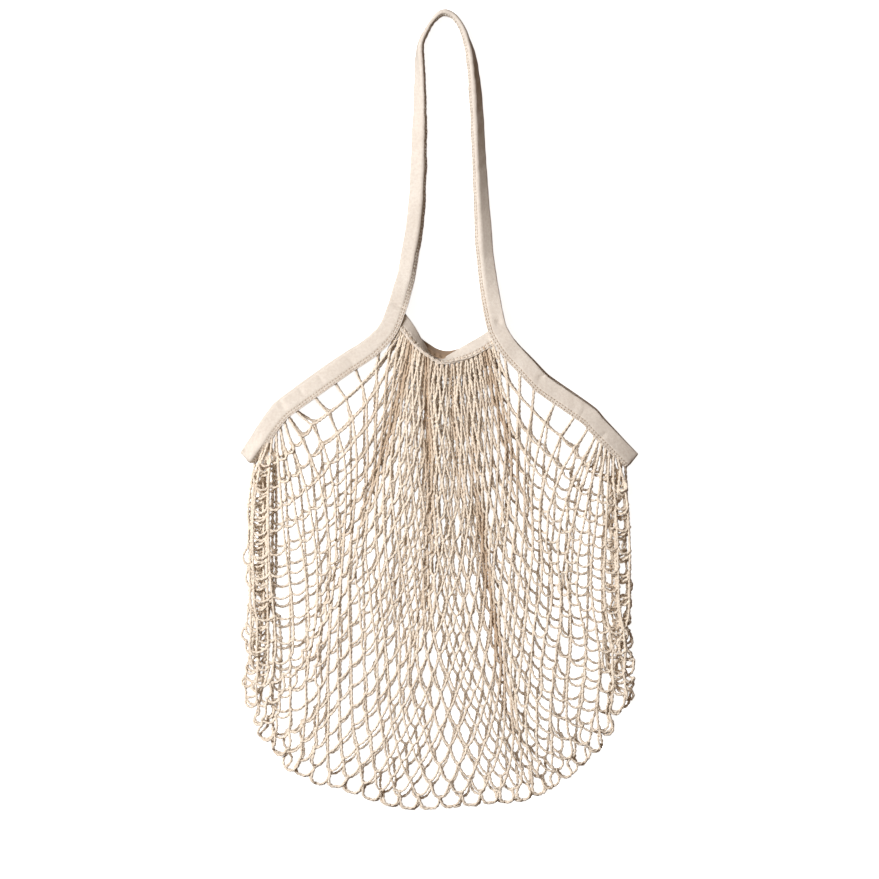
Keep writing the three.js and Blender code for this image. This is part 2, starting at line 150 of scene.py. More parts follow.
FOLD_OFF = (-1, 0.3)    # the range of that, as shares: out and in
BUNDLE_SLACK = 0.045    # how much longer the strands of the side bundles are
KEPT_SLACK = ((3, 7), (0.4, 1.0))  # share of a strand's slack that shows, by lines outside
LOW_FROM, LOW_REACH = 0.8, 0.2  # share of the rows where the low, evenly spread ones begin
# Share of the net's wish to spread, by how many lines of knots a place is outside the mouth.
SPREAD = ((-6, -2, 3, 5, 7), (0.1, 0.2, 0.6, 0.3, 0.05))
# Pleats of the front layer: column, width in columns, depth, lean a row, middle row, and rows to
# fade over.
PLEATS = [
    (-7.7, 1.4, 11, -0.20, 3, 7), (-3.4, 1.3, 12, 0.16, 2, 4), (9.1, 1.4, 11, 0.20, 3, 6),
    (4.1, 1.3, 12, 0.06, 12, 7), (1.6, 1.0, 8, 0.05, 2, 5), (-10.5, 1.2, 6, -0.05, 6, 6),
    (-1.2, 1.1, 7, -0.08, 9, 4), (6.9, 1.1, 6, 0.10, 5, 5),
]
PLEAT_DEEPEST = 12.0
PLEAT_PULL = 0.18       # how strongly the deepest pleat draws its knots together

# Folded edges of the net, as on the solids.
SIDE_LEFT, SIDE_RIGHT, SIDE_TOP, BOTTOM = -179.0, 171.0, 296.0, 3.0
CORNER_LEFT = (105.0, 122.0)
CORNER_RIGHT = (112.0, 146.0)

# ---- the stage ----

# Name, place, size, power and colour.
LIGHTS = (
    ("key", (-1.5, 0.55, 1.9), 0.9, 72, (1, 1, 1)),
    ("fill", (-0.4, 0.3, 3.0), 2.0, 11, (1, 0.85, 0.7)),
)
SKY_COLOUR, SKY_STRENGTH = (1.0, 0.64, 0.4, 1), 0.09
FLOOR_SIZE, FLOOR_GLOW = 12, 0.9
CAMERA_PLACE = (0.00095, -0.0266, 2.258)
CAMERA_LENS, SENSOR_WIDTH = 100, 36


def front_height(distance):
    """Height of the front layer's middle, at a distance from the nearest fold."""
    return FRONT_FOLD + FRONT_RISE * (1 - np.exp(-np.asarray(distance, float) / RISE_REACH))


# ---- curves ----

def unit(v):
    return v / np.maximum(np.linalg.norm(v, axis=-1, keepdims=True), 1e-12)


def lengths_along(line):
    return np.concatenate([[0], np.cumsum(np.linalg.norm(np.diff(line, axis=0), axis=1))])


def at(distance, along, table):
    """Rows of a table, at distances along the line that it belongs to."""
    if table.ndim == 1:
        return np.interp(distance, along, table)
    return np.stack([np.interp(distance, along, column) for column in table.T], axis=-1)


def blend(t, start, end, first, last):
    """What lies between a first and a last value, at t from start to end."""
    return (end - t) / (end - start) * first + (t - start) / (end - start) * last


def spline(points, step=1.0):
    """A centripetal curve through points whose first two values are x and y. Its points are an
    even step apart."""
    p = np.asarray(points, float)
    p = np.vstack([2 * p[0] - p[1], p, 2 * p[-1] - p[-2]])
    pieces = []
    for i in range(1, len(p) - 2):
        near = p[i - 1:i + 3]
        gaps = [np.linalg.norm((b - a)[:2]) ** 0.5 for a, b in zip(near, near[1:])]
        at_point = np.concatenate([[0], np.cumsum(gaps)])
        t = np.linspace(at_point[1], at_point[2], 24, endpoint=i == len(p) - 3)[:, None]
        ones = [blend(t, at_point[k], at_point[k + 1], near[k], near[k + 1]) for k in range(3)]
        twos = [blend(t, at_point[k], at_point[k + 2], ones[k], ones[k + 1]) for k in range(2)]
        pieces.append(blend(t, at_point[1], at_point[2], *twos))
    line = np.vstack(pieces)
    along = lengths_along(line[:, :2])
    return at(np.linspace(0, along[-1], max(3, round(along[-1] / step) + 1)), along, line)


def left_of(line):
    """Level directions to the left of a line in plan."""
    way = np.gradient(line[:, :2], axis=0)
    return unit(np.stack([-way[:, 1], way[:, 0], np.zeros(len(way))], axis=1))


def smooth(x):
    x = np.clip(x, 0, 1)
    return x * x * (3 - 2 * x)


def wander(u, reach, seed):
    """Smooth noise between -1 and 1 along u, with its bumps a reach apart."""
    values = np.random.default_rng(seed).uniform(-1, 1, 1024)
    q = np.asarray(u, float) / reach + 64
    i = np.floor(q).astype(int)
    return values[i % 1024] + (values[(i + 1) % 1024] - values[i % 1024]) * smooth(q - i)


# ---- tapes ----

class Strip:
    """A tape folded along its crease. A place on it is u along the crease, s across it towards
    its folded edge, and h out of its face, all in millimetres."""

    def __init__(self, crease, outward, main_tilt, flange_tilt, main, flange):
        self.crease = np.asarray(crease, float)
        self.u = lengths_along(self.crease)
        self.way = unit(np.gradient(self.crease, self.u, axis=0))
        outward = outward - self.way * (outward * self.way).sum(1, keepdims=True)
        self.outward = unit(outward)
        self.main_tilt = np.broadcast_to(np.radians(main_tilt), self.u.shape)
        self.flange_tilt = np.broadcast_to(np.radians(flange_tilt), self.u.shape)
        self.main, self.flange = main, flange
        self.length = self.u[-1]

    def place(self, u, s, h):
        """Points of the strip."""
        u, s, h = np.broadcast_arrays(u, s, h)
        crease = at(u, self.u, self.crease)
        way, outward = unit(at(u, self.u, self.way)), unit(at(u, self.u, self.outward))
        up = np.cross(way, outward)
        tilt = np.where(s > 0, at(u, self.u, self.main_tilt), at(u, self.u, self.flange_tilt))
        reach, side = np.abs(s), np.sign(s)
        near = np.minimum(reach, CREASE_REACH)
        level, drop = np.zeros(s.shape), np.zeros(s.shape)
        for part in (np.arange(6) + 0.5) / 6:
            angle = tilt * smooth(part * near / CREASE_REACH)
            level, drop = level + np.cos(angle) * near / 6, drop + np.sin(angle) * near / 6
        level, drop = level + np.cos(tilt) * (reach - near), drop + np.sin(tilt) * (reach - near)
        angle = tilt * smooth(near / CREASE_REACH)
        face = outward * (side * np.sin(angle))[..., None] + up * np.cos(angle)[..., None]
        return (crease + outward * (side * level)[..., None] - up * drop[..., None]
                + face * h[..., None])

    def nearest(self, x, y):
        """Where a place of the plan lies on the strip's front, as u and s."""
        behind = self.crease[:, 2] < BACK_LEVEL + LAYER_STEP
        gap = np.hypot(self.crease[:, 0] - x, self.crease[:, 1] - y)
        i = int(np.argmin(np.where(behind, np.inf, gap)))
        return self.u[i], float(np.dot(self.outward[i, :2], (x, y) - self.crease[i, :2]))


def stitch_rows(flange):
    return (STITCH_ROWS[0] - flange, STITCH_ROWS[1] - flange)


def tape_section(main, flange, half):
    """The outline of a folded tape as s, h and which face it is, 1 or -1. It is rounded along
    its folded edge, and open along its stitched edge, where the net goes in."""
    seam = half - 0.5
    rows = stitch_rows(flange)
    face = [(s, half, 1) for s in np.linspace(main - half - 1.5, rows[0] + 2, 8)]
    for row in rows:
        face += [(row + 0.75, half, 1), (row, seam, 1), (row - 0.75, half, 1)]
    face += [(0.25 - flange, half - 0.1, 1), (-flange, half - 0.4, 1), (0.15 - flange, 0.3, 0.3)]
    face += [(2.4 - flange, 0.1, 0)]
    rim = [(main - half + half * math.sin(a), half * math.cos(a), math.cos(a))
           for a in np.linspace(0, math.pi, 8)]
    return np.array(face[::-1] + rim + [(s, -h, -side) for s, h, side in face]).T


def closed_shells(points, lay):
    """Points, quads and corner uvs of shells with their ends shut, from the points of their
    rings, (count, rings, sides, 3), and each ring's lay with its first place said twice."""
    count, rings, sides, _ = points.shape
    here = np.arange(count * rings * sides).reshape(count, rings, sides)
    beside = np.roll(here, -1, axis=2)
    wall = np.stack([here[:, :-1], here[:, 1:], beside[:, 1:], beside[:, :-1]], axis=-1)
    uv = np.stack([lay[:, :-1, :-1], lay[:, 1:, :-1], lay[:, 1:, 1:], lay[:, :-1, 1:]], axis=-2)
    k = np.arange(sides // 2 - 1)
    cap = np.stack([k, k + 1, sides - 2 - k, sides - 1 - k], axis=1)
    ends = np.concatenate([here[:, 0][:, cap], here[:, -1][:, cap][:, :, ::-1]]).reshape(-1, 4)
    quads = np.vstack([wall.reshape(-1, 4), ends])
    uv = np.vstack([uv.reshape(-1, 2), np.zeros((4 * len(ends), 2))])
    return points.reshape(-1, 3), quads, uv


def strip_mesh(strip, half, step, lift, swell):
    """Points, quads and corner uvs of a strip. Both faces lift together and swell apart."""
    s, h, side = tape_section(strip.main, strip.flange, half)
    u = np.linspace(0, strip.length, round(strip.length / step) + 1)[:, None]
    height = h + lift(u, s) + side * swell(u, s)
    flat = strip.flange + np.where(np.arange(len(s)) < len(s) // 2, s, 2 * strip.main - s)
    flat = np.append(flat, flat[-1])
    lay = np.stack([flat + 0 * u, u + 0 * flat], axis=-1) * MM
    return closed_shells(strip.place(u, s[None, :], height)[None], lay[None])


def rounded(line, times):
    """A line with its corners taken off, its ends kept."""
    line = line.copy()
    for _ in range(times):
        line[1:-1] = (line[:-2] + 2 * line[1:-1] + line[2:]) / 4
    return line


def main_tape():
    """The one tape that goes from behind the left shoulder round its tip, up the shoulder, round
    the handle, down the other shoulder and back behind it."""
    parts = []
    for points, turn, tip_tilt in (
            (SHOULDER_LEFT, 1, TIP_TILT_LEFT), (SHOULDER_RIGHT, -1, TIP_TILT_RIGHT)):
        line = spline(points)
        along = lengths_along(line)
        outward = left_of(line) * turn
        tilt = SHOULDER_TILT + (tip_tilt - SHOULDER_TILT) * np.exp(-(along / TIP_REACH) ** 2)
        standing = TAPE_MAIN * np.sin(np.radians(tilt)) + BACK_LEVEL
        height = np.maximum(front_height(along) + LAYER_STEP, standing + BACK_LEVEL)
        front = np.column_stack([line, height]) - CREASE_OFF_MIDDLE * outward
        behind = along < BACK_TAPE_SHARE * along[-1]
        peek = BACK_PEEK * np.sin(math.pi * along / along[-1]) - CREASE_OFF_MIDDLE
        back = np.column_stack([line, np.full(len(line), BACK_LEVEL)]) + peek[:, None] * outward
        radius = (height[0] - BACK_LEVEL) / 2
        beyond = unit((front[:1] - front[1:2]) * [1, 1, 0])
        angle = np.linspace(0, math.pi, TURN_STEPS + 2)[1:-1, None]
        hub = front[:1] * [1, 1, 0] + UP * (height[0] - radius)
        bend = hub + radius * (np.sin(angle) * beyond - np.cos(angle) * UP)
        crease = np.vstack([back[behind][::-1], bend, front[:-SHOULDER_CUT]])
        sides = [outward[behind][::-1], np.repeat(outward[:1], len(bend), 0),
                 outward[:-SHOULDER_CUT]]
        flat = np.zeros(behind.sum())
        turning = np.linspace(0, tilt[0], len(bend))
        tilts = np.concatenate([flat, turning, tilt[:-SHOULDER_CUT]])
        parts.append(np.column_stack([crease, np.vstack(sides), tilts, tilts * TIP_FLANGE]))
    top = height[-1]
    loop = spline(HANDLE)
    along = lengths_along(loop[:, :2])
    tilt = np.radians(loop[:, 2])
    resting = TAPE_MAIN * np.sin(tilt) + BACK_LEVEL * np.cos(tilt)
    near_foot = np.exp(-np.minimum(along, along[-1] - along) / RISE_REACH)
    height = resting + (top - resting) * near_foot
    handle = rounded(np.column_stack([loop[:, :2], height]), HANDLE_ROUNDS)
    handle = np.column_stack([handle, left_of(handle), loop[:, 2:]])[HANDLE_CUT:-HANDLE_CUT]
    route = rounded(np.vstack([parts[0], handle, parts[1][::-1]]), TAPE_ROUNDS)
    along = lengths_along(route[:, :3])
    route = at(np.arange(0, along[-1], 1.0), along, route)
    return Strip(route[:, :3], unit(route[:, 3:6]), route[:, 6], route[:, 7],
                 TAPE_MAIN, TAPE_FLANGE)


def band(points, facing):
    """A binding band of the mouth, with its folded edge up. It faces up (1) or down (-1)."""
    line = spline(points)
    roll = np.radians(line[:, 2])
    low = BACK_LEVEL + BAND_HALF_WIDTH * np.abs(np.sin(roll))
    crease = np.column_stack([line[:, :2], np.where(facing > 0, BAND_LEVEL, low)])
    outward = facing * left_of(line) * np.cos(roll)[:, None] - UP * np.sin(roll)[:, None]
    return Strip(crease, outward, 0, 0, BAND_HALF_WIDTH, BAND_HALF_WIDTH)


# ---- meshes ----

def tubes(lines, radius, sides, lobes=0.0, turn=0.0, phase=0.0):
    """Closed tubes along lines, (count, rings, 3), of a radius at every ring. With lobes they
    look plied: two lobes that turn by so many radians a millimetre."""
    count = len(lines)
    way = unit(np.gradient(lines, axis=1))
    side = unit(np.cross(way, UP) + 1e-6)
    up = np.cross(side, way)
    step = np.linalg.norm(np.diff(lines, axis=1), axis=2)
    along = np.concatenate([np.zeros((count, 1)), np.cumsum(step, axis=1)], axis=1)
    around = np.arange(sides) * 2 * math.pi / sides
    phase = np.broadcast_to(phase, count)[:, None, None]
    angle = around + phase + turn * along[..., None]
    reach = radius[..., None] * (1 - lobes / 3 + lobes * np.cos(2 * around))
    points = (lines[:, :, None] + (reach * np.cos(angle))[..., None] * side[:, :, None]
              + (reach * np.sin(angle))[..., None] * up[:, :, None])
    u = np.arange(sides + 1) / sides + 0 * along[..., None]
    return closed_shells(points, np.stack([u, along[..., None] * MM + phase + 0 * u], axis=-1))


def joined(*parts):
    """Several (points, quads, uvs) as one."""
    first = np.cumsum([0] + [len(part[0]) for part in parts])
    return (np.vstack([part[0] for part in parts]),
            np.vstack([part[1] + n for part, n in zip(parts, first)]),
            np.vstack([part[2] for part in parts]))


def new_piece(name, parts, material, nodes=(), folded=None):
    """A finished piece, from points in the bag's millimetres, quads and corner uvs, and each
    point's painted shade, which for the net is how far the point is down in a fold."""
    points, quads, uv = parts
    mesh = bpy.data.meshes.new(name)
    mesh.vertices.add(len(points))
    mesh.vertices.foreach_set("co", ((points + BAG_ORIGIN) * MM).astype(np.float32).ravel())
    mesh.loops.add(quads.size)
    mesh.loops.foreach_set("vertex_index", quads.astype(np.int32).ravel())
    mesh.polygons.add(len(quads))
    mesh.polygons.foreach_set("loop_start", np.arange(0, quads.size, 4, dtype=np.int32))
    mesh.polygons.foreach_set("use_smooth", np.ones(len(quads), bool))
    mesh.uv_layers.new(name="Lay").data.foreach_set("uv", uv.astype(np.float32).ravel())
    # Painted shade, kept as a point attribute for the materials
    if folded is not None:
        folds = mesh.attributes.new("Painted shade", "FLOAT", "POINT")
        folds.data.foreach_set("value", folded.astype(np.float32))
    mesh.update(calc_edges=True)
    mesh.materials.append(material)
    piece = bpy.data.objects.new(name, mesh)
    bpy.context.collection.objects.link(piece)
    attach(piece, "root")
    if nodes:
        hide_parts(*nodes)
    return piece


def stitches(strip, half, lift, pitch=3.1, length=2.1, thread=0.42):
    """Two rows of stitches that hold a tape's layers together along its stitched edge."""
    parts = []
    for row in stitch_rows(strip.flange):
        middle = np.arange(4, strip.length - 4, pitch)
        rng = np.random.default_rng(int(100 * (row + 9)))
        middle = middle + rng.uniform(-0.15, 0.15, len(middle))
        t = np.array([-1, -0.6, 0, 0.6, 1.0])
        u = middle[:, None] + t * length / 2
        s = row + rng.uniform(-0.12, 0.12, (len(middle), 1)) + 0 * u
        h = half - 0.05 - 0.6 * t ** 4 + lift(u, s)
        radius = thread * np.array([0.5, 0.95, 1, 0.95, 0.5]) + 0 * u
        parts.append(tubes(strip.place(u, s, h), radius, 4))
    return joined(*parts)


# ---- the net's knots ----

def gathered(reach, legs, total):
    """Distances along a shoulder of its sewn meshes: gathered near the tip, then wider apart."""
    wide = smooth((np.arange(SHOULDER_LEGS) + 0.5 - legs) / 2.4 + 0.5)
    step = reach / legs * (1 - wide) + (total - reach) / (SHOULDER_LEGS - legs) * wide
    step *= 1 + 0.1 * np.random.default_rng(int(total)).uniform(-1, 1, len(step))
    places = np.concatenate([[0], np.cumsum(step)])
    return places * total / places[-1]


def beside_route(route, distance, offset):
    """Places beside a route, to its left where the offset is positive."""
    line = spline(route)
    along = lengths_along(line[:, :2])
    return at(distance, along, line[:, :2] + offset * left_of(line)[:, :2])


def net_outline():
    """The net's folded edges, from the left tip round the bottom to the right tip."""
    left = beside_route(SHOULDER_LEFT, [0.0], -12)[0]
    right = beside_route(SHOULDER_RIGHT, [0.0], 12)[0]
    quarter = np.linspace(0, math.pi / 2, 24)
    low_left = np.stack([SIDE_LEFT + CORNER_LEFT[0] * (1 - np.cos(quarter)),
                         BOTTOM + CORNER_LEFT[1] * (1 - np.sin(quarter))], axis=1)
    low_right = np.stack([SIDE_RIGHT - CORNER_RIGHT[0] * (1 - np.sin(quarter)),
                          BOTTOM + CORNER_RIGHT[1] * (1 - np.cos(quarter))], axis=1)
    t = np.linspace(0, 1, 12)[:, None]
    bends = []
    for tip, side in ((left, SIDE_LEFT), (right, SIDE_RIGHT)):
        hip = np.array([side, (tip[1] + SIDE_TOP) / 2])
        foot = np.array([side, SIDE_TOP])
        bends.append((1 - t) ** 2 * tip + 2 * t * (1 - t) * hip + t ** 2 * foot)
    outline = np.vstack([bends[0], low_left, low_right, bends[1][::-1]])
    return outline, lengths_along(outline)


class Net:
    """Knots (a, b) of two layers joined along their folds. From one knot, the next a is down to
    the right and the next b down to the left, so that a + b is its row."""

    def __init__(self, leg):
        self.leg = leg
        places = [(a, b) for a in range(-HALF_MOUTH, LAST + 1)
                  for b in range(-HALF_MOUTH, LAST + 1) if 0 <= a + b <= LAST_ROW]
        self.index = {}
        for layer in (FRONT, BACK):
            for a, b in places:
                self.index.setdefault(self.key(layer, a, b), len(self.index))
        self.layer, self.a, self.b = np.array(list(self.index)).T
        self.row = self.a + self.b
        self.sewn = (self.row == 0) | (self.a == -HALF_MOUTH) | (self.b == -HALF_MOUTH)
        strands = {}
        for layer in (FRONT, BACK):
            for a, b in places:
                for way, end in enumerate(((a + 1, b), (a, b + 1))):
                    i = self.index[self.key(layer, a, b)]
                    j = self.index.get(self.key(layer, *end))
                    if j is not None and not (self.sewn[i] and self.sewn[j]):
                        strands.setdefault((i, j), (layer, way))
        self.strands = np.array(list(strands))
        self.kind = np.array(list(strands.values()))
        self.from_fold = np.minimum(np.minimum(LAST - self.a, LAST - self.b), LAST_ROW - self.row)
        self.outer = np.maximum(self.a, self.b) - HALF_MOUTH

    def uneven_legs(self):
        """Lengths of the strands. Lines of knots differ, and those that cross from one hanging
        line of the sides to the next are short."""
        rng = np.random.default_rng(2)
        start = self.strands[:, 0]
        a, b = self.a[start], self.b[start]
        layer, way = self.kind.T
        line = np.where(way == 0, b, a) + HALF_MOUTH
        own = rng.standard_normal((2, 2, LAST + HALF_MOUTH + 1))[layer, way, line]
        crossing = smooth((np.where(way == 0, a, b) - HALF_MOUTH + 2) / 3)
        share = 1 + UNEVEN_LINES * own + UNEVEN_LEGS * rng.standard_normal(len(start))
        tangle = BUNDLE_SLACK * smooth((self.outer[start] - 4) / 3)
        return self.leg * np.clip(share, 0.85, 1.15) * (1 - SHORT_CROSSING * crossing + tangle)

    @staticmethod
    def key(layer, a, b):
        on_fold = a == LAST or b == LAST or a + b == LAST_ROW
        return (FOLD if on_fold else layer, a, b)

    def sewn_places(self):
        """Places of the knots that are sewn into a tape. The others are zero."""
        x = np.zeros((len(self.a), 3))
        shoulders = (
            (self.a == -HALF_MOUTH, LAST - self.b, SHOULDER_LEFT, GATHERED_LEFT, -1),
            (self.b == -HALF_MOUTH, LAST - self.a, SHOULDER_RIGHT, GATHERED_RIGHT, 1))
        for here, step, route, gathering, side in shoulders:
            total = SHOULDER_SHARE * lengths_along(spline(route))[-1]
            distance = gathered(*gathering, total)[step[here]]
            x[here, :2] = beside_route(route, distance, side * SEWN_OFFSET)
            height = np.where(self.layer[here] == BACK, BACK_LEVEL, front_height(distance) + 1.5)
            x[here, 2] = np.where(step[here] == 0, LAYER_STEP, height)
        share = 0.5 + BAND_SHARE * self.a / (2 * HALF_MOUTH)
        for layer, route, side in ((FRONT, MOUTH_FRONT, -1), (BACK, MOUTH_BACK, 1)):
            here = (self.row == 0) & (self.layer == layer)
            line = spline(route)
            along = lengths_along(line[:, :2])
            distance = (share[here] if layer == FRONT else 1 - share[here]) * along[-1]
            roll = np.radians(at(distance, along, line[:, 2]))
            middle = beside_route(route, distance, 0)
            offset = beside_route(route, distance, side * BAND_OFFSET) - middle
            x[here, :2] = middle + offset * np.cos(roll)[:, None]
            edge = BAND_LEVEL + BAND_OFFSET * np.sin(roll)
            x[here, 2] = edge if layer == FRONT else BACK_LEVEL + 0.5
        return x

    def fold_targets(self):
        """Places on the outline for the knots of the folds."""
        outline, along = net_outline()
        side = self.leg * SIDE_LEGS * 0.97
        bottom = (along[-1] - 2 * side) / (2 * LAST - LAST_ROW)
        distance = side + bottom * (LAST - self.b)
        down_left = side * (self.a + HALF_MOUTH) / SIDE_LEGS
        down_right = along[-1] - side * (self.b + HALF_MOUTH) / SIDE_LEGS
        distance = np.where(self.b == LAST, down_left, distance)
        places = at(np.where(self.a == LAST, down_right, distance), along, outline)
        middle = (SIDE_LEFT + SIDE_RIGHT) / 2
        inward = FOLD_UNEVEN * np.random.default_rng(6).uniform(*FOLD_OFF, len(places))
        places[:, 0] -= inward * np.clip((places[:, 0] - middle) / 100, -1, 1)
        return places

    def pleats(self):
        """How deep the front layer's pleats are at every knot."""
        column = (self.a - self.b) / 2
        depth = np.zeros(len(column))
        for place, width, deepest, lean, start, fade in PLEATS:
            off = (column - place - lean * self.row) / width
            past = np.maximum(np.abs(self.row - start) - 3, 0)
            depth = np.maximum(depth, deepest * np.exp(-off ** 2 - past / fade))
        return np.where(self.layer == FRONT, depth, 0)

    def layer_heights(self):
        """Heights that the layers take: the back flat, the front raised and pleated."""
        column = (self.a - self.b) / 2
        waves = 1.6 * np.sin(column * 2.1) * np.exp(-np.maximum(self.row - 3, 0) / 9)
        front = front_height(self.from_fold * self.leg) + waves - self.pleats()
        height = np.where(self.layer == FRONT, np.maximum(front, 2), BACK_LEVEL + 0.2)
        return np.where(self.from_fold == 0, FRONT_FOLD, height)

    def neighbours(self):
        """Pairs of knots side by side in one row and layer."""
        pairs = set()
        for (layer, a, b), i in self.index.items():
            for own in ((FRONT, BACK) if layer == FOLD else (layer,)):
                j = self.index.get(self.key(own, a + 1, b - 1))
                if j is not None:
                    pairs.add((i, j))
        return np.array(sorted(pairs))


def pull(x, pairs, length, too_long, too_short, free):
    """Moves both ends of pairs to a length, by a share of what is too long or too short."""
    i, j = pairs.T
    gap = x[j] - x[i]
    far = np.sqrt((gap * gap).sum(1)) + 1e-9
    share = np.where(far > length, too_long, too_short) * (far - length) / far
    gap *= (share / np.maximum(free[i] + free[j], 1))[:, None]
    x[i] += gap * free[i][:, None]
    x[j] -= gap * free[j][:, None]


def move_on(x, before, keep, fastest):
    """How the points go on moving, from where they were."""
    speed = (x - before) * keep
    size = np.sqrt((speed * speed).sum(1, keepdims=True)) + 1e-9
    return speed * np.minimum(1, fastest / size)


def hang(net, rounds, weight=0.04, slack=0.02, evening=0.01, opening=0.01, to_fold=0.05):
    """Lets the net hang from the tapes with its folds near the outline. Gives the knots' places
    and the legs' lengths."""
    x = net.sewn_places()
    free = np.where(net.sewn, 0.0, 1.0)
    folds = (net.from_fold == 0) & ~net.sewn
    loose = ~net.sewn & ~folds
    target, height = net.fold_targets(), net.layer_heights()
    x[folds, :2] = target[folds]
    x[loose] = NET_START
    count = len(x)
    first, second = net.strands.T
    meeting = np.bincount(first, minlength=count) + np.bincount(second, minlength=count)

    def neighbours_mean():
        sums = [np.bincount(first, x[second, k], count) + np.bincount(second, x[first, k], count)
                for k in range(3)]
        return np.stack(sums, axis=1) / np.maximum(meeting, 1)[:, None]

    for _ in range(rounds):
        x[loose] = neighbours_mean()[loose]
    x[:, 2] = np.where(net.sewn, x[:, 2], height)
    leg = net.uneven_legs()
    odd = net.row[first] % 2
    groups = [np.nonzero((net.kind[:, 0] == layer) & (net.kind[:, 1] == way) & (odd == o))[0]
              for layer in (FRONT, BACK) for way in (0, 1) for o in (0, 1)]
    beside = net.neighbours()
    beside = [beside[net.a[beside[:, 0]] % 2 == o] for o in (0, 1)]
    # The lowest rows spread evenly. The gathered middle and the side bundles hardly do.
    low = smooth((net.row / LAST_ROW - LOW_FROM) / LOW_REACH)
    spread = np.interp(net.outer, *SPREAD)
    spread = spread + (1 - spread) * low
    pleat = net.pleats() / PLEAT_DEEPEST
    speed = np.zeros_like(x)
    for _ in range(rounds):
        before = x.copy()
        x += speed * free[:, None]
        x[:, 1] -= weight * free
        x[:, 2] += 0.05 * (height - x[:, 2]) * free
        x += (evening * spread * free)[:, None] * (neighbours_mean() - x)
        x[folds, :2] += to_fold * (target[folds] - x[folds, :2])
        for pairs in beside:
            deep = pleat[pairs[:, 0]]
            pull(x, pairs, WIDE_GAP, 0, opening * spread[pairs[:, 0]] * (1 - deep), free)
            pull(x, pairs, LEAST_GAP * (1 - 0.5 * deep), PLEAT_PULL * deep, 0.8, free)
        for group in groups:
            pull(x, net.strands[group], leg[group], 1, slack, free)
        x[:, 2] = np.clip(x[:, 2], BACK_LEVEL, NET_CEILING)
        speed = move_on(x, before, 0.9, 1.0)
    return x, leg


# ---- the net's strands ----

def close_pairs(x, reach):
    """Pairs of points closer than a reach, by a grid of cells that size."""
    cell = np.floor(x / reach).astype(np.int64)
    cell -= cell.min(0) - 1
    size = cell.max(0) + 2
    key = (cell[:, 0] * size[1] + cell[:, 1]) * size[2] + cell[:, 2]
    order = np.argsort(key, kind="stable")
    ranked = key[order]
    found = []
    steps = [(i, j, k) for i in (-1, 0, 1) for j in (-1, 0, 1) for k in (-1, 0, 1)]
    for i, j, k in steps[len(steps) // 2:]:
        wanted = ranked + (i * size[1] + j) * size[2] + k
        low = np.searchsorted(ranked, wanted, "left")
        high = np.searchsorted(ranked, wanted, "right")
        if (i, j, k) == (0, 0, 0):
            low = np.maximum(low, np.arange(len(ranked)) + 1)
        for n in range(max((high - low).max(), 0)):
            some = np.nonzero(high - low > n)[0]
            found.append(np.stack([order[some], order[low[some] + n]], axis=1))
    pairs = np.vstack(found)
    gap = x[pairs[:, 0]] - x[pairs[:, 1]]
    return pairs[(gap * gap).sum(1) < reach * reach]


